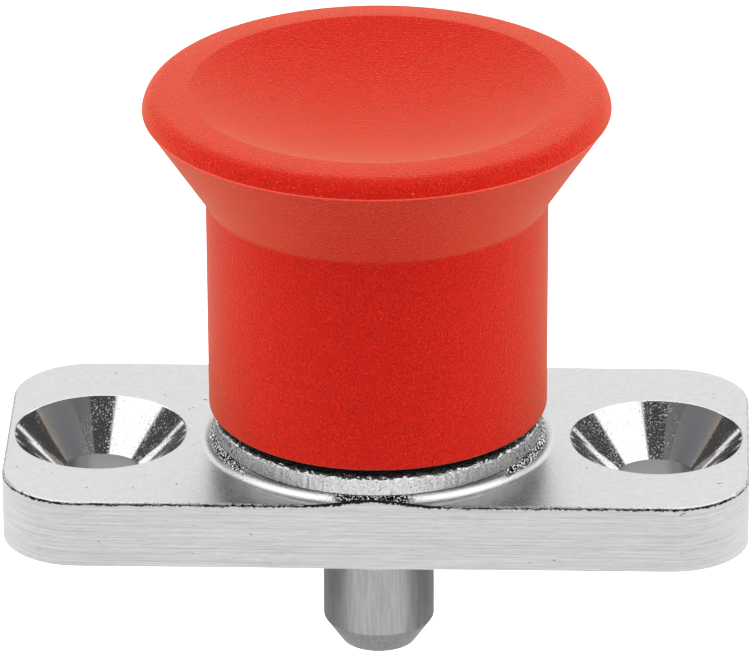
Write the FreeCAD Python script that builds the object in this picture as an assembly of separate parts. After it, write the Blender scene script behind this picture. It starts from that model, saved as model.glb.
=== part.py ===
import FreeCAD, Part
import math
import os

# Indexing plunger with a mounting flange and a pull knob.
# Millimetres. The origin is on the pin's axis in the flange's mounting face. +Z points to the knob,
# and X runs through the two screw holes. The plunger is drawn at rest, with its pin pushed out.

# Mounting flange, turned and milled from flat bar
plate_length = 40.0
plate_width = 17.8
plate_thickness = 3.75
plate_corner_radius = 4.2
plate_edge_break = 0.12
boss_radius = 8.8
boss_height = 1.65
boss_edge_break = 0.15
boss_sweep_reach = 0.8
boss_sweep_height = 0.5
hole_end_distance = 5.0
screw_hole_radius = 2.25
countersink_radius = 4.65
countersink_half_angle = 45.0

# Guide sleeve, pressed into the flange from above
spigot_radius = 5.0
spigot_depth = 2.0
spigot_edge_break = 0.25
spigot_shoulder = 0.3
sleeve_radius = 6.1
sleeve_seat_depth = 1.0
guide_length = 4.0
guide_mouth_break = 0.2
sleeve_lip = 0.6
sleeve_top_break = 0.4

# Plunger pin
pin_radius = 3.0
pin_reach = 6.35
nose_length = 1.45
nose_tip_radius = 2.0
nose_tip_break = 0.12
collar_step = 0.9
collar_thickness = 1.2
shank_radius = 2.0
shank_end_break = 0.35
shank_end_gap = 0.3

# Compression spring and its washer
washer_thickness = 0.4
wire_radius = 0.275
wire_flats = 8
spring_mean_radius = 3.3
spring_turns = 5.0
closed_turns = 1.0
closed_gap = 0.03
spring_reserve = 0.25

# Cap that closes the spring chamber, and the ring that holds it
cap_step = 0.8
cap_thickness = 1.2
cap_neck_radius = 3.4
cap_neck_height = 0.8
ring_thickness = 0.6
ring_grip = 0.3
ring_inner_radius = 4.3
ring_gap_angle = 50.0

# Threaded insert in the knob
insert_radius = 2.9
insert_length = 4.1
insert_groove_width = 1.0
insert_groove_depth = 0.35

# Knob
skirt_radius = 9.1
skirt_spread = 0.05
skirt_wall = 1.3
skirt_edge_break = 0.12
skirt_gap = 0.46
flare_radius = 12.48
flare_height = 5.06
rim_round = 1.05
dish_radius = 10.0
dish_depth = 2.3
crown_thickness = 1.33
hub_radius = 4.5
hub_height = 2.3
hub_gap = 0.35
rib_count = 6
rib_thickness = 1.0
rib_height = 1.7

# Fits, each a gap on the radius or between two faces
press_gap = 0.01
pin_gap = 0.03
shank_gap = 0.05
washer_gap = 0.1
collar_gap = 0.3
groove_gap = 0.05

# How far a cutting tool reaches past the face that it opens
cut_reach = 1.0

# Lengths and heights that follow from the sizes above
stroke = pin_reach
hole_pitch = plate_length - 2.0 * hole_end_distance
boss_top = plate_thickness + boss_height
seat_z = boss_top - sleeve_seat_depth
chamber_floor = guide_length - spigot_depth
collar_top = chamber_floor + collar_thickness
spring_bottom = collar_top + washer_thickness
spring_solid_length = 2.0 * wire_radius * (spring_turns + 1.0)
spring_length = spring_solid_length + stroke + spring_reserve
cap_bottom = spring_bottom + spring_length
cap_top = cap_bottom + cap_thickness
groove_top = cap_top + ring_thickness + groove_gap
sleeve_top = groove_top + sleeve_lip
insert_bottom = sleeve_top + hub_gap
insert_top = insert_bottom + insert_length
dish_bottom = insert_top + crown_thickness
rim_top = dish_bottom + dish_depth
flare_top = rim_top - rim_round
flare_bottom = flare_top - flare_height
skirt_bottom = boss_top + skirt_gap
ceiling = insert_bottom + hub_height

# Radii that follow from the sizes above
seat_radius = spigot_radius + spigot_shoulder
collar_radius = pin_radius + collar_step
chamber_radius = collar_radius + collar_gap
cap_seat_radius = chamber_radius + cap_step
cap_radius = cap_seat_radius - press_gap
ring_radius = cap_seat_radius + ring_grip
cavity_radius = skirt_radius - skirt_wall


# A solid of revolution about Z. Points are (radius, height) pairs. A step that holds two points is
# an arc through the first one to the second one.
def turned(start, *steps):
    edges = []
    here = FreeCAD.Vector(start[0], 0, start[1])
    first = here
    for step in steps + (start,):
        if isinstance(step[0], tuple):
            middle = FreeCAD.Vector(step[0][0], 0, step[0][1])
            there = FreeCAD.Vector(step[1][0], 0, step[1][1])
            edges.append(Part.Arc(here, middle, there).toShape())
        else:
            there = FreeCAD.Vector(step[0], 0, step[1])
            if not there.isEqual(here, 1e-7):
                edges.append(Part.makeLine(here, there))
        here = there
    outline = Part.Face(Part.Wire(edges))
    return outline.revolve(first.multiply(0.0), FreeCAD.Vector(0, 0, 1), 360)


def cylinder(radius, low, high, x=0.0):
    return Part.makeCylinder(radius, high - low, FreeCAD.Vector(x, 0, low))


# The flat bar that the flange is cut from, with its rounded ends
def bar(height):
    corner = FreeCAD.Vector(-plate_length / 2, -plate_width / 2, 0)
    block = Part.makeBox(plate_length, plate_width, height, corner)
    uprights = [edge for edge in block.Edges if abs(edge.Vertexes[0].Z - edge.Vertexes[1].Z) > height / 2]
    return block.makeFillet(plate_corner_radius, uprights)


# The boss is turned on the bar, so that the bar's long faces cut off its sweep at the foot.
def boss():
    foot = boss_radius + boss_sweep_reach
    sweep_radius = (boss_sweep_reach ** 2 + boss_sweep_height ** 2) / (2 * boss_sweep_height)
    half_turn = 0.5 * math.acos(1 - boss_sweep_height / sweep_radius)
    middle = (
        foot - sweep_radius * math.sin(half_turn),
        plate_thickness + sweep_radius * (1 - math.cos(half_turn)),
    )
    shape = turned(
        (0, plate_thickness / 2),
        (foot, plate_thickness / 2),
        (foot, plate_thickness),
        (middle, (boss_radius, plate_thickness + boss_sweep_height)),
        (boss_radius, boss_top - boss_edge_break),
        (boss_radius - boss_edge_break, boss_top),
        (0, boss_top),
    )
    return shape.common(bar(boss_top))


def countersunk_hole(x):
    cone_depth = (countersink_radius - screw_hole_radius) / math.tan(math.radians(countersink_half_angle))
    hole = cylinder(screw_hole_radius, -cut_reach, plate_thickness + cut_reach, x)
    cone = Part.makeCone(
        screw_hole_radius, countersink_radius, cone_depth, FreeCAD.Vector(x, 0, plate_thickness - cone_depth)
    )
    mouth = cylinder(countersink_radius, plate_thickness, boss_top + cut_reach, x)
    return hole.fuse([cone, mouth])


def mounting_flange():
    plate = bar(plate_thickness)
    rims = [edge for edge in plate.Edges if all(abs(v.Z - plate.BoundBox.ZMax) < 1e-6 for v in edge.Vertexes)]
    plate = plate.makeChamfer(plate_edge_break, rims)
    body = plate.fuse(boss()).removeSplitter()
    cuts = [countersunk_hole(side * hole_pitch / 2) for side in (-1, 1)]
    cuts.append(cylinder(seat_radius + press_gap, -cut_reach, boss_top))
    cuts.append(cylinder(sleeve_radius + press_gap, seat_z, boss_top + cut_reach))
    return body.cut(cuts)


def guide_sleeve():
    bore = pin_radius + pin_gap
    return turned(
        (bore, -spigot_depth + guide_mouth_break),
        (bore + guide_mouth_break, -spigot_depth),
        (spigot_radius - spigot_edge_break, -spigot_depth),
        (spigot_radius, -spigot_depth + spigot_edge_break),
        (spigot_radius, 0),
        (seat_radius, 0),
        (seat_radius, seat_z),
        (sleeve_radius, seat_z),
        (sleeve_radius, sleeve_top - sleeve_top_break),
        (sleeve_radius - sleeve_top_break, sleeve_top),
        (cap_seat_radius, sleeve_top),
        (cap_seat_radius, groove_top),
        (ring_radius + groove_gap, groove_top),
        (ring_radius + groove_gap, cap_top),
        (cap_seat_radius, cap_top),
        (cap_seat_radius, cap_bottom),
        (chamber_radius, cap_bottom),
        (chamber_radius, chamber_floor),
        (bore, chamber_floor),
    )


def plunger_pin():
    tip_z = -spigot_depth - pin_reach
    nose_slope = (pin_radius - nose_tip_radius) / nose_length
    shank_top = insert_top - shank_end_gap
    return turned(
        (0, tip_z),
        (nose_tip_radius - nose_tip_break, tip_z),
        (nose_tip_radius + nose_tip_break * nose_slope, tip_z + nose_tip_break),
        (pin_radius, tip_z + nose_length),
        (pin_radius, chamber_floor),
        (collar_radius, chamber_floor),
        (collar_radius, collar_top),
        (shank_radius, collar_top),
        (shank_radius, shank_top - shank_end_break),
        (shank_radius - shank_end_break, shank_top),
        (0, shank_top),
    )


def thrust_washer():
    return turned(
        (shank_radius + washer_gap, collar_top),
        (collar_radius, collar_top),
        (collar_radius, spring_bottom),
        (shank_radius + washer_gap, spring_bottom),
    )


# The coil is a row of tangent half turns, each an arc in its own tilted plane. The end turns are
# wound wire on wire, and the open turns between them share the rest of the length. The wire has
# flats, because a round one this thin would hold most of the facets of the whole object.
def compression_spring():
    half_turns = round(2.0 * spring_turns)
    closed_halves = round(2.0 * closed_turns)
    closed_rise = wire_radius + closed_gap / 2.0
    coil_rise = spring_length - 2.0 * wire_radius
    open_rise = (coil_rise - 2.0 * closed_halves * closed_rise) / (half_turns - 2.0 * closed_halves)
    start_z = spring_bottom + wire_radius
    z = start_z
    side = 1
    arcs = []
    for half in range(half_turns):
        is_closed = half < closed_halves or half >= half_turns - closed_halves
        rise = closed_rise if is_closed else open_rise
        begin = FreeCAD.Vector(side * spring_mean_radius, 0, z)
        middle = FreeCAD.Vector(0, side * math.hypot(spring_mean_radius, rise / 2.0), z + rise / 2.0)
        end = FreeCAD.Vector(-side * spring_mean_radius, 0, z + rise)
        arcs.append(Part.Arc(begin, middle, end).toShape())
        z += rise
        side = -side
    corner_radius = wire_radius / math.cos(math.pi / wire_flats)
    corners = []
    for corner in range(wire_flats + 1):
        angle = 2.0 * math.pi * (corner + 0.5) / wire_flats
        across = spring_mean_radius + corner_radius * math.cos(angle)
        corners.append(FreeCAD.Vector(across, 0, start_z + corner_radius * math.sin(angle)))
    return Part.Wire(arcs).makePipeShell([Part.makePolygon(corners)], True, False)


def sleeve_cap():
    bore = shank_radius + shank_gap
    neck_top = cap_top + cap_neck_height
    return turned(
        (bore, cap_bottom),
        (cap_radius, cap_bottom),
        (cap_radius, cap_top),
        (cap_neck_radius, cap_top),
        (cap_neck_radius, neck_top),
        (bore, neck_top),
    )


def retaining_ring():
    ring = turned(
        (ring_inner_radius, cap_top),
        (ring_radius, cap_top),
        (ring_radius, cap_top + ring_thickness),
        (ring_inner_radius, cap_top + ring_thickness),
    )
    wedge = Part.makeCylinder(
        ring_radius + cut_reach,
        ring_thickness + 2.0 * cut_reach,
        FreeCAD.Vector(0, 0, cap_top - cut_reach),
        FreeCAD.Vector(0, 0, 1),
        ring_gap_angle,
    )
    wedge.rotate(FreeCAD.Vector(0, 0, 0), FreeCAD.Vector(0, 0, 1), 90 - ring_gap_angle / 2)
    return ring.cut(wedge)


# The insert's outside, also used with a gap as the pocket that the knob is moulded round.
def insert_body(gap):
    outer = insert_radius + gap
    waist = outer - insert_groove_depth
    middle = (insert_bottom + insert_top) / 2
    half_groove = insert_groove_width / 2 - gap
    return turned(
        (0, insert_bottom),
        (outer, insert_bottom),
        (outer, middle - half_groove),
        (waist, middle - half_groove),
        (waist, middle + half_groove),
        (outer, middle + half_groove),
        (outer, insert_top + gap),
        (0, insert_top + gap),
    )


def knob_insert():
    bore = cylinder(shank_radius + press_gap, insert_bottom - cut_reach, insert_top + cut_reach)
    return insert_body(0.0).cut(bore)


def knob_outside():
    upper_radius = skirt_radius + skirt_spread
    round_r = flare_radius - rim_round
    rim_middle = (round_r + rim_round * math.cos(math.pi / 4), flare_top + rim_round * math.sin(math.pi / 4))
    sphere = (dish_radius ** 2 + dish_depth ** 2) / (2 * dish_depth)
    half_turn = 0.5 * math.asin(dish_radius / sphere)
    dish_middle = (
        sphere * math.sin(half_turn),
        dish_bottom + sphere * (1 - math.cos(half_turn)),
    )
    return turned(
        (0, skirt_bottom),
        (skirt_radius - skirt_edge_break, skirt_bottom),
        (skirt_radius, skirt_bottom + skirt_edge_break),
        (upper_radius, flare_bottom),
        (flare_radius, flare_top),
        (rim_middle, (round_r, rim_top)),
        (dish_radius, rim_top),
        (dish_middle, (0, dish_bottom)),
    )


def knob():
    cavity = cylinder(cavity_radius, skirt_bottom - cut_reach, ceiling)
    hub = cylinder(hub_radius, insert_bottom, ceiling)
    cavity = cavity.cut(hub)
    for number in range(rib_count):
        rib = Part.makeBox(
            cavity_radius + skirt_wall / 2,
            rib_thickness,
            rib_height,
            FreeCAD.Vector(0, -rib_thickness / 2, ceiling - rib_height),
        )
        rib.rotate(FreeCAD.Vector(0, 0, 0), FreeCAD.Vector(0, 0, 1), 360 * (number + 0.5) / rib_count)
        cavity = cavity.cut(rib)
    return knob_outside().cut([cavity, insert_body(press_gap)])


makers = {
    "mounting_flange": mounting_flange,
    "guide_sleeve": guide_sleeve,
    "plunger_pin": plunger_pin,
    "thrust_washer": thrust_washer,
    "compression_spring": compression_spring,
    "sleeve_cap": sleeve_cap,
    "retaining_ring": retaining_ring,
    "knob_insert": knob_insert,
    "knob": knob,
}

os.makedirs("parts", exist_ok=True)
for name, make in makers.items():
    shape = make()
    shape.exportStep("parts/" + name + ".step")
    print(name, len(shape.Solids), "solid", round(shape.Volume, 2), "mm3, valid", shape.isValid())
print("stroke", stroke, "spring from", spring_bottom, "to", cap_bottom, "knob top", rim_top)
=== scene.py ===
import math
import random

import bmesh
import bpy
from mathutils import Matrix, Vector


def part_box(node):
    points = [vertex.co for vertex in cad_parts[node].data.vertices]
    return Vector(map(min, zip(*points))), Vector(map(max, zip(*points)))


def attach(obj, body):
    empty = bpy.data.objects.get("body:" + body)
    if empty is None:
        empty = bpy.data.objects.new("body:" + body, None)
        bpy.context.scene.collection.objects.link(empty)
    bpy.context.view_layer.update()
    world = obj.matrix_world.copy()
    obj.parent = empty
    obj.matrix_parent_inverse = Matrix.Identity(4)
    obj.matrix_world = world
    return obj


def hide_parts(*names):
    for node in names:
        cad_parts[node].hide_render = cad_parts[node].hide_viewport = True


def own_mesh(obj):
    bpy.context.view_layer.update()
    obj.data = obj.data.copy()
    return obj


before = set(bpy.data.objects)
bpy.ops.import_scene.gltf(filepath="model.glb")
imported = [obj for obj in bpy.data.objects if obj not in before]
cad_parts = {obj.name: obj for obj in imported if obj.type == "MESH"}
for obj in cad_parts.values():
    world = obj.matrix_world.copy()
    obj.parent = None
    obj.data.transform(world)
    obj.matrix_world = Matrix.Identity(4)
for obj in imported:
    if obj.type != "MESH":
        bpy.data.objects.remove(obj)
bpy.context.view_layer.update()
mm = 0.001
mergeWithin = 0.0005 * mm  # points nearer to each other than this become one
print("frame loaded with", len(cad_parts), "nodes")


class Field:  # a socket whose value changes over a surface
    def __init__(self, finish, socket):
        self.finish = finish
        self.socket = socket

    def __add__(self, other):
        return self.finish.maths("ADD", self, other)

    def __radd__(self, other):
        return self.finish.maths("ADD", other, self)

    def __sub__(self, other):
        return self.finish.maths("SUBTRACT", self, other)

    def __rsub__(self, other):
        return self.finish.maths("SUBTRACT", other, self)

    def __mul__(self, other):
        return self.finish.maths("MULTIPLY", self, other)

    def __rmul__(self, other):
        return self.finish.maths("MULTIPLY", other, self)


# The parts of a noise's range that a soft and a firm pattern are spread over
softSpan = (0.3, 0.7)
firmSpan = (0.35, 0.65)


class Finish:  # the nodes of one material, or of the world
    def __init__(self, owner):
        owner.use_nodes = True
        self.owner = owner
        self.nodes = owner.node_tree.nodes
        self.links = owner.node_tree.links
        self.nodes.clear()

    def add(self, kind, settings=None, inputs=None, output=0):
        node = self.nodes.new("ShaderNode" + kind)
        for key, value in (settings or {}).items():
            setattr(node, key, value)
        for key, value in (inputs or {}).items():
            if isinstance(value, Field):
                self.links.new(value.socket, node.inputs[key])
            else:
                node.inputs[key].default_value = value
        return Field(self, node.outputs[output])

    def maths(self, operation, *values):
        return self.add("Math", {"operation": operation}, dict(enumerate(values)))

    def place(self):
        return self.add("TexCoord", output="Object")

    def parts(self, vector):
        first = self.add("SeparateXYZ", {}, {"Vector": vector})
        return [Field(self, socket) for socket in first.socket.node.outputs]

    def stretched(self, vector, scale):
        return self.add("Mapping", {}, {"Vector": vector, "Scale": scale})

    # A look holds a noise as one value: the size of a lump, the detail and the roughness.
    def noise(self, vector, lump, detail=2.0, roughness=0.5):
        settings = {"Vector": vector, "Scale": 1.0 / lump, "Detail": detail, "Roughness": roughness}
        return self.add("TexNoise", {}, settings)

    def stepped(self, value, low, high, toLow=0.0, toHigh=1.0):
        levels = {"Value": value, "From Min": low, "From Max": high, "To Min": toLow, "To Max": toHigh}
        return self.add("MapRange", {"interpolation_type": "SMOOTHSTEP"}, levels)

    def roughness(self, pattern, limits):
        return self.stepped(pattern, *softSpan, *limits)

    def tinted(self, factor, first, second):
        return self.add("Mix", {"data_type": "RGBA"}, {0: factor, 6: first, 7: second}, output=2)

    def bumped(self, height, depth):
        return self.add("Bump", {}, {"Height": height, "Distance": depth})

    def shown(self, shader, kind="Material"):
        end = self.nodes.new("ShaderNodeOutput" + kind)
        self.links.new(shader.socket, end.inputs["Surface"])
        return self.owner

    def surface(self, levels):
        return self.shown(self.add("BsdfPrincipled", {}, levels))

    def metal(self, colour, roughness, normal, metallic=1.0):
        return self.surface({
            "Base Color": colour,
            "Metallic": metallic,
            "Roughness": roughness,
            "Normal": normal,
        })


def newFinish(name):
    return Finish(bpy.data.materials.new(name))


def grey(level):
    return (level, level, level, 1.0)


def blended(first, second, share):
    return first * share + second * (1.0 - share)


# An outline is a list of corners, each with a radius, a height and the size of its rounding.
def roundedOutline(corners, steps=5):
    points = []
    for number, (across, up, size) in enumerate(corners):
        corner = Vector((across, up))
        if size == 0.0:
            points.append(corner)
            continue
        before = (Vector(corners[number - 1][:2]) - corner).normalized()
        after = (Vector(corners[number + 1][:2]) - corner).normalized()
        half = before.angle(after) / 2.0
        centre = corner + (before + after).normalized() * size / math.sin(half)
        first = corner + before * size / math.tan(half) - centre
        turn = math.copysign(math.pi - 2.0 * half, first.cross(corner - centre))
        for step in range(steps + 1):
            points.append(centre + Matrix.Rotation(turn * step / steps, 2) @ first)
    return points


def spun(points, steps, x=0.0):
    shape = bmesh.new()
    verts = [shape.verts.new((x * mm + across * mm, 0.0, up * mm)) for across, up in points]
    edges = [shape.edges.new(pair) for pair in zip(verts, verts[1:])]
    bmesh.ops.spin(
        shape, geom=verts + edges, cent=(x * mm, 0.0, 0.0), axis=(0.0, 0.0, 1.0), dvec=(0.0, 0.0, 0.0),
        angle=2.0 * math.pi, steps=steps, use_merge=True, use_normal_flip=False, use_duplicate=False,
    )
    bmesh.ops.remove_doubles(shape, verts=shape.verts, dist=mergeWithin)
    bmesh.ops.recalc_face_normals(shape, faces=shape.faces)
    return shape


def boxShape(size, middle):  # both in metres
    shape = bmesh.new()
    bmesh.ops.create_cube(shape, size=1.0)
    bmesh.ops.scale(shape, vec=size, verts=shape.verts)
    bmesh.ops.translate(shape, vec=middle, verts=shape.verts)
    return shape


def linked(name, data):
    piece = bpy.data.objects.new(name, data)
    bpy.context.scene.collection.objects.link(piece)
    return piece


def asObject(name, shape):
    mesh = bpy.data.meshes.new(name)
    shape.to_mesh(mesh)
    shape.free()
    return linked(name, mesh)


def finishedMesh(piece):  # the mesh as the modifiers, or a curve's own thickness, leave it
    graph = bpy.context.evaluated_depsgraph_get()
    return bpy.data.meshes.new_from_object(piece.evaluated_get(graph))


def settled(piece):
    mesh = finishedMesh(piece)
    piece.modifiers.clear()
    piece.data = mesh
    return piece


def joined(piece, tool, operation):
    step = piece.modifiers.new(operation, "BOOLEAN")
    step.operation = operation
    step.solver = "EXACT"
    step.object = tool
    settled(piece)
    bpy.data.objects.remove(tool)
    return piece


def creased(piece, angle):  # smooth faces, with creases where they meet at more than the angle
    mesh = piece.data
    mesh.polygons.foreach_set("use_smooth", [True] * len(mesh.polygons))
    mesh.set_sharp_from_angle(angle=math.radians(angle))
    step = piece.modifiers.new("even normals", "WEIGHTED_NORMAL")
    step.keep_sharp = True
    return settled(piece)


def fitted(piece, finishes, body, node):
    piece.data.materials.clear()
    for finish in finishes:
        piece.data.materials.append(finish)
    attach(piece, body)
    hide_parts(node)
    print(piece.name, "made,", len(piece.data.polygons), "faces")
    return piece


# Knob: red moulded plastic with a fine matt grain

knobLook = {
    "deepRed": (0.39, 0.006, 0.003, 1.0),
    "freshRed": (0.60, 0.011, 0.005, 1.0),
    "flashHighlightRed": (0.80, 0.07, 0.045, 1.0),
    "paintedGlint": (0.88, 0.13, 0.09, 1.0),
    "paintedReflectionGrey": (0.10, 0.112, 0.125, 1.0),
    "grain": (0.10 * mm, 2.0, 0.6),
    "grainDepth": 0.06 * mm,
    "leastGrain": 0.4,
    "paintedGlintGrain": (0.09 * mm, 2.0, 0.7),
    "paintedGlintSpan": (0.64, 0.72),
    "headHeights": (18.0 * mm, 23.0 * mm),
    "headLevels": (0.6, 1.0),
    "roughness": (0.39, 0.53),
    "gloss": 0.05,
    "sheen": 0.44,
    "sheenRoughness": 0.4,
    "sheenTint": (1.0, 0.62, 0.33, 1.0),
    "flashHalfHeight": 0.045 * mm,
}


def mouldedPlastic():
    look = knobLook
    finish = newFinish("red moulded plastic")
    place = finish.place()
    x, y, height = finish.parts(place)
    grain = finish.noise(place, *look["grain"])
    onHead = finish.stepped(height, *look["headHeights"], *look["headLevels"])
    # painted glints: light red specks in the colour stand in for glints off the grain, stronger on the head
    paintedGlint = finish.stepped(finish.noise(place, *look["paintedGlintGrain"]), *look["paintedGlintSpan"])
    red = finish.tinted(finish.stepped(grain, *firmSpan), look["deepRed"], look["freshRed"])
    red = finish.tinted(paintedGlint * onHead, red, look["paintedGlint"])
    # painted highlight: a thin band at the widest edge, outside the dish, is painted lighter red where the
    # parting line catches light
    level = finish.maths("COMPARE", height, knob["widestHeight"] * mm, look["flashHalfHeight"])
    outside = finish.maths("GREATER_THAN", x * x + y * y, (knob["dishRadius"] * mm) ** 2)
    flashHighlighted = finish.tinted(level * outside, red, look["flashHighlightRed"])
    mirrored = finish.add("LightPath", output="Is Glossy Ray")  # painted reflection: in the plating's reflections the knob is painted grey instead of red
    return finish.surface({
        "Base Color": finish.tinted(mirrored, flashHighlighted, look["paintedReflectionGrey"]),
        "Roughness": finish.roughness(grain, look["roughness"]),
        "Normal": finish.bumped(grain * (onHead + look["leastGrain"]), look["grainDepth"]),
        "Specular IOR Level": look["gloss"],
        "Sheen Weight": look["sheen"],
        "Sheen Roughness": look["sheenRoughness"],
        "Sheen Tint": look["sheenTint"],
    })


knob = {
    "skirtRadius": 9.1,
    "skirtRound": 0.13,
    "neckRadius": 9.15,
    "neckHeight": 17.92,
    "neckRound": 0.5,
    "widestRadius": 12.48,
    "widestHeight": 22.98,
    "rimRound": 1.05,
    "rimCrown": 0.07,
    "rimTurn": 0.47 * math.pi,
    "rimSteps": 12,
    "ringSteps": 6,
    "dishRadius": 10.0,
    "dishDepth": 2.3,
    "dishRings": 28,
    "lipRound": 0.14,
    "skirtInside": 7.8,
    "mouthRound": 0.1,
    "ceiling": 18.6,
    "ceilingRound": 0.25,
    "hubRadius": 4.5,
    "hubBottom": 16.3,
    "hubRound": 0.2,
    "pocketRadius": 2.91,
    "pocketTop": 20.41,
    "ribs": 6,
    "ribThickness": 1.0,
    "ribHeight": 1.7,
    "ribOverlap": 0.4,
    "flashStep": 0.03,
    "flashHeight": 0.05,
    "turns": 192,
    "crease": 24.0,
}


def knobRim(underFlash, top):  # from the widest edge over the rim to the dish's lip
    k = knob
    centre = Vector((underFlash - k["rimRound"], top - k["rimRound"]))
    points = []
    for step in range(1, k["rimSteps"] + 1):
        angle = k["rimTurn"] * step / k["rimSteps"]
        drop = k["rimCrown"] * step / k["rimSteps"]
        out = Vector((math.cos(angle), math.sin(angle)))
        points.append(centre + k["rimRound"] * out - Vector((0.0, drop)))
    outer = points[-1]
    for step in range(1, k["ringSteps"]):
        left = 1.0 - step / k["ringSteps"]
        across = k["dishRadius"] + (outer.x - k["dishRadius"]) * left
        points.append(Vector((across, top - (top - outer.y) * left * left)))
    return points


def knobDish(top):  # part of a sphere, from its edge to the axis
    k = knob
    sphere = (k["dishRadius"] ** 2 + k["dishDepth"] ** 2) / (2.0 * k["dishDepth"])
    points = []
    for ring in range(k["dishRings"] + 1):
        across = k["dishRadius"] * (1.0 - ring / k["dishRings"])
        rise = sphere - math.sqrt(sphere ** 2 - across ** 2)
        points.append(Vector((across, top - k["dishDepth"] + rise)))
    return points


def makeKnob():
    low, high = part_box("knob")
    bottom = low.z / mm
    top = high.z / mm
    k = knob
    underFlash = k["widestRadius"] - k["flashStep"]  # the radius that the parting line stands out of
    corners = [
        (0.0, k["pocketTop"], 0.0),
        (k["pocketRadius"], k["pocketTop"], 0.0),
        (k["pocketRadius"], k["hubBottom"], k["mouthRound"]),
        (k["hubRadius"], k["hubBottom"], k["hubRound"]),
        (k["hubRadius"], k["ceiling"], k["ceilingRound"]),
        (k["skirtInside"], k["ceiling"], k["ceilingRound"]),
        (k["skirtInside"], bottom, k["mouthRound"]),
        (k["skirtRadius"], bottom, k["skirtRound"]),
        (k["neckRadius"], k["neckHeight"], k["neckRound"]),
        (underFlash, k["widestHeight"] - k["flashHeight"], 0.0),
        (k["widestRadius"], k["widestHeight"] - k["flashStep"], 0.0),
        (k["widestRadius"], k["widestHeight"] + k["flashStep"], 0.0),
        (underFlash, k["widestHeight"] + k["flashHeight"], 0.0),
    ]
    outline = roundedOutline(corners) + knobRim(underFlash, top)
    dish = knobDish(top)
    lip = roundedOutline([(*outline[-1], 0.0), (*dish[0], k["lipRound"]), (*dish[2], 0.0)])
    outline += lip[1:-1] + dish[2:]
    body = asObject("knobMoulding", spun(outline, k["turns"]))
    length = k["skirtInside"] - k["hubRadius"] + 2.0 * k["ribOverlap"]
    size = Vector((length, k["ribThickness"], k["ribHeight"] + k["ribOverlap"])) * mm
    height = k["ceiling"] - (k["ribHeight"] - k["ribOverlap"]) / 2.0
    middle = Vector(((k["skirtInside"] + k["hubRadius"]) / 2.0, 0.0, height)) * mm
    for number in range(k["ribs"]):
        rib = boxShape(size, middle)
        turn = Matrix.Rotation(2.0 * math.pi * (number + 0.5) / k["ribs"], 3, "Z")
        bmesh.ops.rotate(rib, cent=(0.0, 0.0, 0.0), matrix=turn, verts=rib.verts)
        joined(body, asObject("rib", rib), "UNION")
    creased(body, k["crease"])
    return fitted(body, [mouldedPlastic()], "puller", "knob")


# Mounting flange: bright plated steel, with one finish for each of its zones

black = grey(0.02)
bright = grey(0.86)
# the colour of painted glints, a painted highlight
glint = grey(0.90)
pitGrey = grey(0.30)
topGrey = grey(0.73)

topLook = {
    "dark": grey(0.68),
    "pale": topGrey,
    "grain": (0.09 * mm, 3.0, 0.6),
    "grainShare": 0.7,
    "mottle": (0.35 * mm, 3.0, 0.7),
    "pit": (0.40 * mm, 2.0),
    "pits": (0.735, 0.76),
    "roughness": (0.26, 0.36),
    "depth": 0.006 * mm,
}


def satinPlating():
    look = topLook
    finish = newFinish("satin plated top")
    place = finish.place()
    grain = finish.noise(place, *look["grain"])
    mottle = finish.stepped(finish.noise(place, *look["mottle"]), *softSpan)
    pits = finish.stepped(finish.noise(place, *look["pit"]), *look["pits"])
    shade = finish.tinted(mottle, look["dark"], look["pale"])
    shade = finish.tinted(pits, shade, pitGrey)
    bump = finish.bumped(blended(grain, mottle, look["grainShare"]), look["depth"])
    return finish.metal(shade, finish.roughness(grain, look["roughness"]), bump)


# The ragged dark line along the top edge of the bar's sides is painted shade: black is painted on the lower
# part of the edge break and the top of the side. Its limits are counted in line widths.
edgeLook = {
    "line": 0.125 * mm,
    "raggedness": 3.0,
    "sideLimits": (2.6, 3.1),
    "edgeLimits": (2.0, 2.3),
    "thinning": 0.04,
    "burr": (0.24 * mm, 3.0, 0.7),
    "glint": (0.22 * mm, 2.0, 0.7),
    "glints": (0.54, 0.60),
    "glintTone": grey(0.92),
    "roughness": 0.25,
    "depth": 0.05 * mm,
}


# Whether a point is below the line. The edge, and the line with it, rises where the bar cuts the sweep.
def belowLine(finish, place, ragged, limits, thinning=0.0):
    line = edgeLook["line"]
    x, y, height = finish.parts(place)
    foot = (flange["bossRadius"] + flange["sweepReach"]) * mm
    inward = finish.maths("MAXIMUM", foot - finish.maths("SQRT", x * x + y * y), 0.0)
    sweep = sweepRadius() * mm
    rise = sweep - finish.maths("SQRT", sweep * sweep - inward * inward)
    depth = rise + flange["thickness"] * mm - height
    low, high = limits
    uneven = ragged * line * edgeLook["raggedness"]
    return finish.stepped(depth + uneven - inward * thinning, low * line, high * line)


sideLook = {
    "dark": grey(0.66),
    "pale": bright,
    "streak": (6.0 * mm, 4.0, 0.7),
    "streakStretch": (1.0, 1.0, 80.0),
    "streakShare": 0.85,
    "grain": (0.10 * mm, 2.0),
    "pit": (0.45 * mm, 2.0),
    "pitStretch": (1.0, 1.0, 2.5),
    "pits": (0.74, 0.77),
    "ragged": (0.16 * mm, 2.0, 0.7),
    "roughness": (0.30, 0.42),
    "depth": 0.03 * mm,
}


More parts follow.
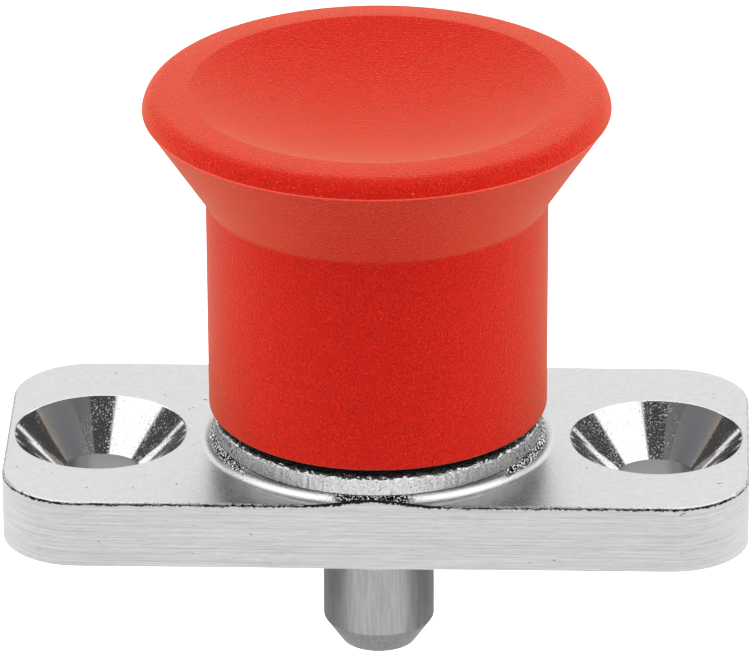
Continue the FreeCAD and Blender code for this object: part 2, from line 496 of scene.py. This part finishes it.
def brushedSide():
    look = sideLook
    finish = newFinish("brushed bar side")
    place = finish.place()
    streaks = finish.noise(finish.stretched(place, look["streakStretch"]), *look["streak"])
    grain = finish.noise(place, *look["grain"])
    pits = finish.noise(finish.stretched(place, look["pitStretch"]), *look["pit"])
    shade = finish.tinted(finish.stepped(streaks, *firmSpan), look["dark"], look["pale"])
    shade = finish.tinted(finish.stepped(pits, *look["pits"]), shade, pitGrey)
    ragged = finish.noise(place, *look["ragged"])
    under = belowLine(finish, place, ragged, edgeLook["sideLimits"], edgeLook["thinning"])
    # painted shade: the side is painted black just under its top edge
    shade = finish.tinted(under, black, shade)
    bump = finish.bumped(blended(streaks, grain, look["streakShare"]), look["depth"])
    return finish.metal(shade, finish.roughness(streaks, look["roughness"]), bump)


def burredEdge():
    look = edgeLook
    finish = newFinish("burred bar edge with painted shade and glints")
    place = finish.place()
    ragged = finish.noise(place, *look["burr"])
    # painted highlights: white glints are painted on the edge break
    glints = finish.stepped(finish.noise(place, *look["glint"]), *look["glints"])
    shade = finish.tinted(glints, topGrey, look["glintTone"])
    under = belowLine(finish, place, ragged, look["edgeLimits"])
    shade = finish.tinted(under, shade, black)
    return finish.metal(shade, look["roughness"], finish.bumped(ragged, look["depth"]))


coneLook = {
    "grain": (0.10 * mm, 2.0, 0.7),
    "specks": (0.56, 0.76),
    "patch": (1.0 * mm, 1.0),
    "patches": (0.44, 0.56),
    "patchLevels": (0.6, 1.15),
    "calmFrom": 0.5,
    "calmTo": 1.5,
    "calmLevel": 0.4,
    "roughness": 0.07,
    "depth": 0.007 * mm,
}


def polishedCone():  # its specks come in patches and are faint on the outer side
    look = coneLook
    finish = newFinish("polished countersink")
    place = finish.place()
    x, y, height = finish.parts(place)
    wide = finish.maths("ABSOLUTE", x)
    hole = flange["holeOffset"]
    calm = finish.stepped(
        wide, (hole + look["calmFrom"]) * mm, (hole + look["calmTo"]) * mm, 1.0, look["calmLevel"],
    )
    patches = finish.stepped(finish.noise(place, *look["patch"]), *look["patches"], *look["patchLevels"])
    specks = finish.stepped(finish.noise(place, *look["grain"]), *look["specks"])
    bump = finish.bumped(specks * (patches * calm), look["depth"])
    return finish.metal(bright, look["roughness"], bump)


boreLook = {
    # the drilled hole's wall is painted dark grey, as painted shade inside the hole
    "hole": grey(0.34),
    "holeDepth": 0.010 * mm,
    "seat": grey(1.0),
    "seatDepth": 0.006 * mm,
    "grain": (0.12 * mm, 3.0, 0.6),
    "grainShare": 0.6,
    "ring": (0.36 * mm, 2.0),
    "ringStretch": (1.0, 1.0, 8.0),
    "roughness": 0.3,
}


def boredFinish(name, colour, depth):
    look = boreLook
    finish = newFinish(name)
    place = finish.place()
    grain = finish.noise(place, *look["grain"])
    rings = finish.noise(finish.stretched(place, look["ringStretch"]), *look["ring"])
    bump = finish.bumped(blended(grain, rings, look["grainShare"]), depth)
    return finish.metal(colour, look["roughness"], bump)


# Heights above the sweep (foot), below the boss's top (crest) and distances from the middle are in mm.
wallLook = {
    "pale": grey(1.0),
    "paleSpan": (0.38, 0.5),
    "grain": (0.13 * mm, 3.0, 0.7),
    "speck": (0.17 * mm, 3.0, 0.75),
    "specks": (0.62, 0.68),
    "speckLevel": 0.85,
    "sides": (6.6, 7.8),
    "sideLevel": 0.10,
    "foot": (0.05, 0.09),
    "footUneven": 0.05,
    "ragged": (0.18 * mm, 3.0, 0.75),
    "raggedStretch": (0.6, 0.6, 1.4),
    "crest": (-0.10, -0.04),
    "crestUneven": 0.4,
    "glints": (0.47, 0.52),
    "roughness": (0.14, 0.30),
    "depth": 0.07 * mm,
}


# The boss's wall is pale, with dark specks from the turning tool. Its dark foot line, where the wall meets
# the sweep, is painted shade, and its ragged crest under the knob holds painted glints, made non-metal so the
# lamps light them, among dark dashes of painted shade.
def tornWallWithPaintedLight():
    look = wallLook
    finish = newFinish("torn boss wall, painted shade and glints")
    place = finish.place()
    x, y, height = finish.parts(place)
    grain = finish.noise(place, *look["grain"])
    near, far = look["sides"]  # the specks grow denser toward both ends in x
    sides = finish.stepped(finish.maths("ABSOLUTE", x), near * mm, far * mm, 0.0, look["sideLevel"])
    specks = finish.stepped(finish.noise(place, *look["speck"]) + sides, *look["specks"])
    foot = flange["thickness"] + flange["sweepHeight"]
    low, high = look["foot"]
    uneven = height + grain * look["footUneven"] * mm
    # painted shade: a dark line along the wall's foot, where it meets the sweep
    line = 1.0 - finish.stepped(uneven, (foot + low) * mm, (foot + high) * mm)
    dark = finish.maths("MAXIMUM", specks * look["speckLevel"], line)
    ragged = finish.noise(finish.stretched(place, look["raggedStretch"]), *look["ragged"])
    top = flange["bossTop"]
    low, high = look["crest"]
    crest = finish.stepped(height + ragged * look["crestUneven"] * mm, (top + low) * mm, (top + high) * mm)
    # painted highlights: white non-metal glints along the crest, with black between them as painted shade
    glints = finish.stepped(ragged, *look["glints"])
    shade = finish.tinted(finish.stepped(grain, *look["paleSpan"]), bright, look["pale"])
    shade = finish.tinted(dark, shade, black)
    colour = finish.tinted(crest, shade, finish.tinted(glints, black, glint))
    rough = finish.roughness(grain, look["roughness"])
    return finish.metal(colour, rough, finish.bumped(grain, look["depth"]), 1.0 - crest * glints)


rimLook = {
    "shaded": grey(0.12),
    "grain": (0.16 * mm, 3.0, 0.7),
    "roughness": 0.3,
    "depth": 0.05 * mm,
}


# The rim under the knob's edge is painted dark as painted shade; its bump gives the rough metal.
def rimInPaintedShade():
    look = rimLook
    finish = newFinish("boss rim in painted shade")
    grain = finish.noise(finish.place(), *look["grain"])
    return finish.metal(look["shaded"], look["roughness"], finish.bumped(grain, look["depth"]))


# Heights above the plate and distances from the middle are in mm.
sweepLook = {
    "grain": (0.11 * mm, 3.0, 0.7),
    "upper": (0.20, 0.28),
    "upperUneven": 0.14,
    "middle": (2.5, 3.2),
    "middleUneven": 1.6,
    "paintedBandEnds": (7.2, 7.6),
    "endUneven": 0.8,
    "ends": (6.0, 8.8),
    "glints": (0.54, 0.60),
    "endGlints": 0.03,
    "roughness": 0.26,
    "depth": 0.010 * mm,
}


def turnedSweep():  # its upper part is painted black with white non-metal glints in the middle and at the ends, as painted shade and painted highlights, and its colour is darker toward both ends in x
    look = sweepLook
    finish = newFinish("turned sweep")
    place = finish.place()
    x, y, height = finish.parts(place)
    grain = finish.noise(place, *look["grain"])
    wide = finish.maths("ABSOLUTE", x)

    def past(value, uneven, limits):
        low, high = limits
        return finish.stepped(value + grain * uneven * mm, low * mm, high * mm)

    plate = flange["thickness"]
    upper = past(height, look["upperUneven"], [plate + limit for limit in look["upper"]])
    middle = 1.0 - past(wide, look["middleUneven"], look["middle"])
    paintedShadeAndGlints = upper * (middle + past(wide, look["endUneven"], look["paintedBandEnds"]))
    near, far = look["ends"]
    ends = finish.stepped(wide, near * mm, far * mm)
    glints = finish.stepped(grain + ends * look["endGlints"], *look["glints"])
    shade = finish.tinted(ends, bright, topGrey)
    # painted shade and painted highlights: black with white non-metal glints in the band
    colour = finish.tinted(paintedShadeAndGlints, shade, finish.tinted(glints, black, glint))
    return finish.metal(colour, look["roughness"], finish.bumped(grain, look["depth"]), 1.0 - paintedShadeAndGlints * glints)


flange = {
    "length": 40.0,
    "width": 17.8,
    "thickness": 3.75,
    "cornerRadius": 4.2,
    "edgeBreak": 0.12,
    "edgeSteps": 2,
    "cornerSteps": 24,
    "bossRadius": 8.8,
    "bossTop": 5.4,
    "bossEdge": 0.13,
    "bossEdgeBulge": 0.35,
    "calmRings": (2.0, 3.0),
    "sweepReach": 0.8,
    "sweepHeight": 0.5,
    "sweepSteps": 12,
    "holeOffset": 15.0,
    "holeRadius": 2.25,
    "sinkRadius": 4.65,
    "mouthBreak": 0.04,
    "mouthBulge": 0.3,
    "seatRadius": 5.31,
    "sleeveRadius": 6.11,
    "seatHeight": 4.4,
    "bossTurns": 540,
    "sinkTurns": 144,
    "overshoot": 1.0,
    "jitter": 0.05,
    "jitterReach": 1.2,
    "jitterSeed": 5,
    "crease": 22.0,
}


def sweepRadius():
    return (flange["sweepReach"] ** 2 + flange["sweepHeight"] ** 2) / (2.0 * flange["sweepHeight"])


def barBlock(name, height, edgeBreak=0.0):
    f = flange
    tall = height * mm
    block = boxShape(Vector((f["length"], f["width"], height)) * mm, (0.0, 0.0, tall / 2.0))
    uprights = [e for e in block.edges if abs(e.verts[0].co.z - e.verts[1].co.z) > tall / 2.0]
    bmesh.ops.bevel(
        block, geom=uprights, offset=f["cornerRadius"] * mm, offset_type="OFFSET", segments=f["cornerSteps"],
        profile=0.5, affect="EDGES", material=-1,
    )
    if edgeBreak > 0.0:
        rims = [e for e in block.edges if all(v.co.z > tall / 2.0 for v in e.verts)]
        bmesh.ops.bevel(
            block, geom=rims, offset=edgeBreak * mm, offset_type="OFFSET", segments=f["edgeSteps"],
            profile=0.5, affect="EDGES", material=-1,
        )
    return asObject(name, block)


def bossShape():
    f = flange
    foot = f["bossRadius"] + f["sweepReach"]
    sweep = sweepRadius()
    turn = math.acos(1.0 - f["sweepHeight"] / sweep)
    points = [Vector((0.0, f["thickness"] / 2.0)), Vector((foot, f["thickness"] / 2.0))]
    for step in range(f["sweepSteps"] + 1):
        angle = turn * step / f["sweepSteps"]
        across = foot - sweep * math.sin(angle)
        points.append(Vector((across, f["thickness"] + sweep * (1.0 - math.cos(angle)))))
    edge = f["bossEdge"]
    bulge = f["bossEdgeBulge"] * edge
    points.append(Vector((f["bossRadius"], f["bossTop"] - edge)))
    points.append(Vector((f["bossRadius"] - bulge, f["bossTop"] - bulge)))
    for inset in (1.0, *f["calmRings"]):  # the calm rings keep the edge's roughness out of the flat top
        points.append(Vector((f["bossRadius"] - inset * edge, f["bossTop"])))
    points.append(Vector((0.0, f["bossTop"])))
    shape = spun(points, f["bossTurns"])
    chance = random.Random(f["jitterSeed"])
    reach = f["jitterReach"] * edge
    for vert in shape.verts:
        across = math.hypot(vert.co.x, vert.co.y) / mm
        up = vert.co.z / mm
        if up > f["bossTop"] - reach and across > f["bossRadius"] - reach:
            inward = 1.0 - 2.0 * f["jitter"] * chance.random() / f["bossRadius"]
            vert.co.x *= inward
            vert.co.y *= inward
            vert.co.z -= f["jitter"] * mm * chance.random()
    return shape


# A face belongs to a zone by its place, in mm, and by its slope, the upward part of its normal.
zoneLimits = {
    "flat": 0.95,
    "upright": 0.25,
    "coneSlope": 0.3,
    "onLevel": 0.002,
    "onFace": 0.01,
    "holeSlack": 0.05,
    "boreSlack": 1.0,
    "rimDepth": 1.1,
}


def zoneOf(face):
    f = flange
    limits = zoneLimits
    middle = face.calc_center_median() / mm
    slope = face.normal.z
    fromLevel = min(abs(middle.z - level) for level in (0.0, f["thickness"], f["bossTop"]))
    if fromLevel < limits["onLevel"] and abs(slope) > limits["flat"]:
        return "top"  # first, because a wide face can have its middle in a hole
    fromHole = math.hypot(abs(middle.x) - f["holeOffset"], middle.y)
    fromAxis = math.hypot(middle.x, middle.y)
    if fromHole < f["holeRadius"] + limits["holeSlack"]:
        return "hole"
    if fromHole < f["sinkRadius"] + f["mouthBreak"] and limits["coneSlope"] < slope < limits["flat"]:
        return "cone"
    if fromAxis < f["seatRadius"] + limits["boreSlack"] and middle.z < f["bossTop"] - limits["onFace"]:
        return "bore"
    if middle.z > f["thickness"] + limits["onLevel"]:
        if abs(slope) < limits["upright"]:
            return "side" if abs(middle.y) > f["width"] / 2.0 - limits["onFace"] else "wall"
        onRim = middle.z > f["bossTop"] - limits["rimDepth"] * f["bossEdge"]
        return "rim" if onRim and slope < limits["flat"] else "sweep"
    if abs(slope) > limits["flat"]:
        return "top"
    return "edge" if slope > limits["upright"] else "side"


def flangeShape():
    f = flange
    plate = barBlock("flangeBody", f["thickness"], f["edgeBreak"])
    boss = joined(asObject("boss", bossShape()), barBlock("bar", f["bossTop"] + f["overshoot"]), "INTERSECT")
    joined(plate, boss, "UNION")
    low = -f["overshoot"]
    over = f["bossTop"] + f["overshoot"]
    seat = [
        (0.0, low),
        (f["seatRadius"], low),
        (f["seatRadius"], f["seatHeight"]),
        (f["sleeveRadius"], f["seatHeight"]),
        (f["sleeveRadius"], over),
        (0.0, over),
    ]
    joined(plate, asObject("seat", spun(seat, f["sinkTurns"])), "DIFFERENCE")
    sinkDepth = f["sinkRadius"] - f["holeRadius"]
    mouth = f["mouthBreak"]
    sink = [
        (0.0, low),
        (f["holeRadius"], low),
        (f["holeRadius"], f["thickness"] - sinkDepth),
        (f["sinkRadius"] - mouth, f["thickness"] - mouth),
        (f["sinkRadius"], f["thickness"] - f["mouthBulge"] * mouth),
        (f["sinkRadius"] + mouth, f["thickness"]),
        (f["sinkRadius"] + mouth, over),
        (0.0, over),
    ]
    for side in (-1.0, 1.0):
        joined(plate, asObject("sink", spun(sink, f["sinkTurns"], side * f["holeOffset"])), "DIFFERENCE")
    return plate


def makeFlange():
    plate = flangeShape()
    finishes = {
        "top": satinPlating(),
        "side": brushedSide(),
        "edge": burredEdge(),
        "cone": polishedCone(),
        "hole": boredFinish("drilled hole in painted shade", boreLook["hole"], boreLook["holeDepth"]),
        "wall": tornWallWithPaintedLight(),
        "rim": rimInPaintedShade(),
        "sweep": turnedSweep(),
        "bore": boredFinish("bored seat", boreLook["seat"], boreLook["seatDepth"]),
    }
    names = list(finishes)
    shape = bmesh.new()
    shape.from_mesh(plate.data)
    shape.normal_update()
    for face in shape.faces:
        face.material_index = names.index(zoneOf(face))
    shape.to_mesh(plate.data)
    shape.free()
    creased(plate, flange["crease"])
    zones = [polygon.material_index for polygon in plate.data.polygons]  # kept, because fitting resets them
    fitted(plate, finishes.values(), "housing", "mounting_flange")
    plate.data.polygons.foreach_set("material_index", zones)
    return plate


# Plunger pin: ground steel, satin

pinLook = {
    "dark": grey(0.43),
    "pale": grey(0.52),
    "line": (2.0 * mm, 3.0, 0.6),
    "lineStretch": (12.0, 12.0, 1.0),
    "lineShare": 0.5,
    "grain": (0.08 * mm, 2.0),
    "roughness": (0.36, 0.46),
    "depth": 0.006 * mm,
}


def groundSteel():
    look = pinLook
    finish = newFinish("ground steel")
    place = finish.place()
    lines = finish.noise(finish.stretched(place, look["lineStretch"]), *look["line"])
    grain = finish.noise(place, *look["grain"])
    colour = finish.tinted(finish.stepped(lines, *firmSpan), look["dark"], look["pale"])
    bump = finish.bumped(blended(lines, grain, look["lineShare"]), look["depth"])
    return finish.metal(colour, finish.roughness(grain, look["roughness"]), bump)


pin = {
    "radius": 3.0,
    "noseLength": 1.45,
    "tipRadius": 2.0,
    "tipRound": 0.14,
    "noseRound": 0.25,
    "collarRadius": 3.9,
    "collarBottom": 2.0,
    "collarTop": 3.2,
    "collarRound": 0.1,
    "shankRadius": 2.0,
    "endBreak": 0.35,
    "turns": 128,
    "crease": 24.0,
}


def makePin():
    low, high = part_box("plunger_pin")
    tip = low.z / mm
    end = high.z / mm
    p = pin
    corners = [
        (0.0, tip, 0.0),
        (p["tipRadius"], tip, p["tipRound"]),
        (p["radius"], tip + p["noseLength"], p["noseRound"]),
        (p["radius"], p["collarBottom"], p["collarRound"]),
        (p["collarRadius"], p["collarBottom"], p["collarRound"]),
        (p["collarRadius"], p["collarTop"], p["collarRound"]),
        (p["shankRadius"], p["collarTop"], p["collarRound"]),
        (p["shankRadius"], end - p["endBreak"], 0.0),
        (p["shankRadius"] - p["endBreak"], end, 0.0),
        (0.0, end, 0.0),
    ]
    body = asObject("plungerPin", spun(roundedOutline(corners), p["turns"]))
    creased(body, p["crease"])
    return fitted(body, [groundSteel()], "puller", "plunger_pin")


# Spring: round wire with its end turns closed

spring = {
    "wireRadius": 0.275,
    "radius": 3.3,
    "turns": 5.0,
    "closedTurns": 1.0,
    "closedGap": 0.03,
    "stepsPerTurn": 48,
    "roundness": 5,
    "stroke": 6.35,
    "crease": 40.0,
    "colour": (0.46, 0.45, 0.43, 1.0),
    "grain": (0.07 * mm, 2.0),
    "roughness": (0.28, 0.40),
    "depth": 0.003 * mm,
}


def drawnWire():
    finish = newFinish("spring wire")
    grain = finish.noise(finish.place(), *spring["grain"])
    rough = finish.roughness(grain, spring["roughness"])
    return finish.metal(spring["colour"], rough, finish.bumped(grain, spring["depth"]))


def springHeight(turn, length):
    s = spring
    closedRise = 2.0 * s["wireRadius"] + s["closedGap"]
    openTurns = s["turns"] - 2.0 * s["closedTurns"]
    openRise = (length - 2.0 * s["wireRadius"] - 2.0 * s["closedTurns"] * closedRise) / openTurns
    fromEnd = min(turn, s["closedTurns"]) + max(0.0, turn - s["turns"] + s["closedTurns"])
    inOpen = min(max(turn - s["closedTurns"], 0.0), openTurns)
    return closedRise * fromEnd + openRise * inOpen


def makeSpring():
    s = spring
    low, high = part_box("compression_spring")
    length = (high.z - low.z) / mm
    line = bpy.data.curves.new("springLine", "CURVE")
    line.dimensions = "3D"
    path = line.splines.new("POLY")
    path.points.add(round(s["turns"] * s["stepsPerTurn"]))
    for number, point in enumerate(path.points):
        turn = number / s["stepsPerTurn"]
        angle = 2.0 * math.pi * turn
        up = low.z / mm + s["wireRadius"] + springHeight(turn, length)
        point.co = (s["radius"] * mm * math.cos(angle), s["radius"] * mm * math.sin(angle), up * mm, 1.0)
    line.bevel_depth = s["wireRadius"] * mm
    line.bevel_resolution = s["roundness"]
    line.use_fill_caps = True
    coil = linked("coilLine", line)
    mesh = finishedMesh(coil)
    bpy.data.objects.remove(coil)
    body = linked("springCoil", mesh)
    creased(body, s["crease"])
    fitted(body, [drawnWire()], "housing", "compression_spring")
    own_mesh(body)
    return body


# The turned pieces inside

turnedLook = {
    "steel": (0.66, 0.66, 0.65, 1.0),
    "steelRoughness": 0.26,
    "brass": (0.74, 0.52, 0.21, 1.0),
    "brassRoughness": 0.24,
    "strip": (0.40, 0.40, 0.39, 1.0),
    "stripRoughness": 0.34,
    "roughnessSpread": 0.05,
    "ring": (0.8 * mm, 3.0, 0.6),
    "ringStretch": (1.0, 1.0, 10.0),
    "ringShare": 0.7,
    "grain": (0.08 * mm, 2.0),
    "depth": 0.004 * mm,
    "crease": 22.0,
}


def turnedMetal(name, metal):
    look = turnedLook
    finish = newFinish(name)
    place = finish.place()
    rings = finish.noise(finish.stretched(place, look["ringStretch"]), *look["ring"])
    grain = finish.noise(place, *look["grain"])
    rough = look[metal + "Roughness"]
    spread = look["roughnessSpread"]
    bump = finish.bumped(blended(rings, grain, look["ringShare"]), look["depth"])
    return finish.metal(look[metal], finish.roughness(rings, (rough - spread, rough + spread)), bump)


def dressNode(node, name, body, finish):  # a copy of the solid's own mesh, with clean edges
    shape = bmesh.new()
    shape.from_mesh(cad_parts[node].data)
    bmesh.ops.remove_doubles(shape, verts=shape.verts, dist=mergeWithin)
    bmesh.ops.recalc_face_normals(shape, faces=shape.faces)
    piece = creased(asObject(name, shape), turnedLook["crease"])
    return fitted(piece, [finish], body, node)


sleeve = {
    "boreRadius": 3.03,
    "bottom": -2.0,
    "mouthBreak": 0.2,
    "spigotRadius": 5.0,
    "seatRadius": 5.3,
    "seatHeight": 4.4,
    "radius": 6.1,
    "top": 15.95,
    "topBreak": 0.4,
    "topRound": 0.1,
    "capSeatRadius": 5.0,
    "grooveTop": 15.35,
    "grooveRadius": 5.35,
    "capTop": 14.7,
    "capBottom": 13.5,
    "chamberRadius": 4.2,
    "chamberFloor": 2.0,
    "edge": 0.05,
    "turns": 160,
    "crease": 24.0,
}


def makeSleeve(finish):
    v = sleeve
    corners = [
        (v["boreRadius"], v["chamberFloor"], v["edge"]),
        (v["boreRadius"], v["bottom"] + v["mouthBreak"], 0.0),
        (v["boreRadius"] + v["mouthBreak"], v["bottom"], 0.0),
        (v["spigotRadius"], v["bottom"], v["edge"]),
        (v["spigotRadius"], 0.0, 0.0),
        (v["seatRadius"], 0.0, 0.0),
        (v["seatRadius"], v["seatHeight"], 0.0),
        (v["radius"], v["seatHeight"], 0.0),
        (v["radius"], v["top"] - v["topBreak"], v["topRound"]),
        (v["radius"] - v["topBreak"], v["top"], v["topRound"]),
        (v["capSeatRadius"], v["top"], v["edge"]),
        (v["capSeatRadius"], v["grooveTop"], 0.0),
        (v["grooveRadius"], v["grooveTop"], 0.0),
        (v["grooveRadius"], v["capTop"], 0.0),
        (v["capSeatRadius"], v["capTop"], 0.0),
        (v["capSeatRadius"], v["capBottom"], 0.0),
        (v["chamberRadius"], v["capBottom"], v["edge"]),
        (v["chamberRadius"], v["chamberFloor"], 0.0),
    ]
    outline = roundedOutline(corners)
    outline.append(outline[0])
    body = asObject("guideSleeve", spun(outline, v["turns"]))
    creased(body, v["crease"])
    return fitted(body, [finish], "housing", "guide_sleeve")


def dressInnerPieces():
    steel = turnedMetal("turned steel", "steel")
    brass = turnedMetal("turned brass", "brass")
    strip = turnedMetal("spring strip", "strip")
    makeSleeve(steel)
    dressNode("thrust_washer", "thrustWasher", "carriage", steel)
    dressNode("sleeve_cap", "sleeveCap", "housing", brass)
    dressNode("retaining_ring", "retainingRing", "housing", strip)
    dressNode("knob_insert", "knobInsert", "puller", brass)


# Studio: a pale floor below the part, soft boxes and a white surround

# The world's limits are parts of a direction: z is up, y is away from the front and x is to the side.
studio = {
    "floorHeight": -30.0,
    "floorSize": 6.0,
    "floorColour": grey(0.80),
    "floorGlow": 0.6,
    "roof": 1.35,
    "back": 0.95,
    "front": 0.12,
    "band": 0.85,
    "ground": 1.0,
    "underneath": 0.55,
    "gap": 0.06,
    "backFrom": (-0.25, 0.3),
    "bandFrom": (0.32, 0.38),
    "bandTo": (0.48, 0.53),
    "roofFrom": (0.53, 0.57),
    "roofRise": 0.07,
    "lensWidth": (0.20, 0.27),
    "lensReach": (-0.1, 0.1),
    "sideFrom": (0.30, 0.40),
    "lowGapFrom": (0.04, 0.07),
    "lowGapTo": (0.17, 0.20),
    "highGapFrom": (0.25, 0.28),
    "horizon": (-0.06, 0.0),
    "nadir": (-0.95, -0.55),
}


def buildWorld():
    world = bpy.data.worlds.new("studio")
    bpy.context.scene.world = world
    sky = Finish(world)
    s = studio
    x, y, z = sky.parts(sky.add("TexCoord", output="Generated"))
    wide = sky.maths("ABSOLUTE", x)
    seen = sky.add("LightPath", output="Is Camera Ray")
    band = sky.stepped(z, *s["bandFrom"]) * (1.0 - sky.stepped(z, *s["bandTo"]))
    front = s["front"] + band * (s["band"] - s["front"])
    behind = sky.stepped(y, *s["backFrom"])
    around = front * (1.0 - behind) + behind * s["back"]  # dark in front but for one band, white behind
    aside = sky.stepped(wide, *s["sideFrom"])
    lowGap = sky.stepped(z, *s["lowGapFrom"]) * (1.0 - sky.stepped(z, *s["lowGapTo"]))
    gap = aside * (sky.stepped(z, *s["highGapFrom"]) + lowGap)
    walls = around * (1.0 - gap) + gap * s["gap"]
    lens = (1.0 - sky.stepped(wide, *s["lensWidth"])) * (1.0 - sky.stepped(y, *s["lensReach"]))
    roof = sky.stepped(z - aside * s["roofRise"], *s["roofFrom"])
    roofLevel = s["roof"] - lens * (s["roof"] - s["gap"])
    upper = walls * (1.0 - roof) + roof * roofLevel
    above = sky.stepped(z, *s["horizon"])
    lower = sky.stepped(z, *s["nadir"], s["underneath"], s["ground"])
    level = upper * above + lower * (1.0 - above)
    strength = level * (1.0 - seen) + seen
    sky.shown(sky.add("Background", {}, {"Color": grey(1.0), "Strength": strength}), "World")


def buildFloor():
    floor = bmesh.new()
    bmesh.ops.create_grid(floor, x_segments=1, y_segments=1, size=studio["floorSize"] / 2.0)
    bmesh.ops.translate(floor, vec=(0.0, 0.0, studio["floorHeight"] * mm), verts=floor.verts)
    piece = asObject("floor", floor)
    paint = newFinish("pale floor")
    matt = paint.add("BsdfDiffuse", {}, {"Color": studio["floorColour"]})
    seen = paint.add("LightPath", output="Is Camera Ray")
    glow = paint.add("Emission", {}, {"Color": grey(1.0), "Strength": seen * studio["floorGlow"]})
    lit = paint.add("AddShader", {}, {0: matt, 1: glow})
    below = paint.add("NewGeometry", output="Backfacing")  # clear from below, to show the underside
    clear = paint.add("BsdfTransparent")
    piece.data.materials.append(paint.shown(paint.add("MixShader", {}, {0: below, 1: lit, 2: clear})))
    piece.visible_glossy = False


# Lamps, in metres and watts. Each aims at a height on the axis, and the side box stands on both sides.
lamps = {
    "side box": {"place": (0.40, -0.05, 0.12), "aim": 0.012, "size": (0.30, 0.30), "power": 1.25},
    "overhead box": {"place": (0.0, -0.15, 0.45), "aim": 0.01, "size": (0.35, 0.35), "power": 0.98},
    "back box": {"place": (0.0, 0.45, 0.20), "aim": 0.01, "size": (0.35, 0.25), "power": 1.1},
    "front box": {"place": (0.0, -0.45, 0.0), "aim": 0.012, "size": (0.30, 0.30), "power": 0.15},
}


def addLamp(name, side=1.0):
    chosen = lamps[name]
    light = bpy.data.lights.new(name, "AREA")
    light.shape = "RECTANGLE"
    light.size, light.size_y = chosen["size"]
    light.energy = chosen["power"]
    lamp = linked(name, light)
    across, back, up = chosen["place"]
    lamp.location = (side * across, back, up)
    aim = Vector((0.0, 0.0, chosen["aim"]))
    lamp.rotation_euler = (aim - lamp.location).to_track_quat("-Z", "Y").to_euler()
    lamp.visible_glossy = False
    return lamp


card = {
    "low": (9.0, -6.0, -24.0),
    "high": (9.5, 30.0, -3.0),
    "tone": grey(0.36),
}


def addCard(side):  # seen only in reflections, for the dark bands on the pin
    low, high = (Vector((side * across, y, z)) for across, y, z in (card["low"], card["high"]))
    piece = asObject("pinFlag", boxShape((high - low) * mm, (high + low) * mm / 2.0))
    paint = newFinish("grey card")
    piece.data.materials.append(paint.shown(paint.add("BsdfDiffuse", {}, {"Color": card["tone"]})))
    piece.visible_camera = False
    piece.visible_diffuse = False
    piece.visible_shadow = False
    piece.visible_transmission = False


cameraPlace = {
    "lens": 437.87,
    "sensor": 36.0,
    "distance": 490.82,
    "azimuth": 1.972,
    "elevation": 24.513,
    "roll": -0.266,
    "aim": (-0.091, 0.0, 10.044),
    "nearest": 0.01,
    "farthest": 20.0,
}


def placeCamera():
    c = cameraPlace
    azimuth, elevation, roll = (math.radians(c[key]) for key in ("azimuth", "elevation", "roll"))
    level = math.cos(elevation)
    back = Vector((math.sin(azimuth) * level, -math.cos(azimuth) * level, math.sin(elevation)))
    right = (-back).cross(Vector((0.0, 0.0, 1.0))).normalized()
    up = right.cross(-back)
    across = right * math.cos(roll) + up * math.sin(roll)
    upward = up * math.cos(roll) - right * math.sin(roll)
    lens = bpy.data.cameras.new("camera")
    lens.lens = c["lens"]
    lens.sensor_width = c["sensor"]
    lens.clip_start = c["nearest"]
    lens.clip_end = c["farthest"]
    camera = linked("camera", lens)
    turn = Matrix((across, upward, back)).transposed().to_4x4()
    camera.matrix_world = Matrix.Translation((Vector(c["aim"]) + back * c["distance"]) * mm) @ turn
    bpy.context.scene.camera = camera


makeKnob()
makeFlange()
makePin()
makeSpring()
dressInnerPieces()
print("pieces made")

buildWorld()
buildFloor()
for side in (-1.0, 1.0):
    addCard(side)
    addLamp("side box", side)
addLamp("overhead box")
addLamp("back box")
addLamp("front box")
placeCamera()
bpy.context.scene.view_settings.view_transform = "Standard"
print("studio set")
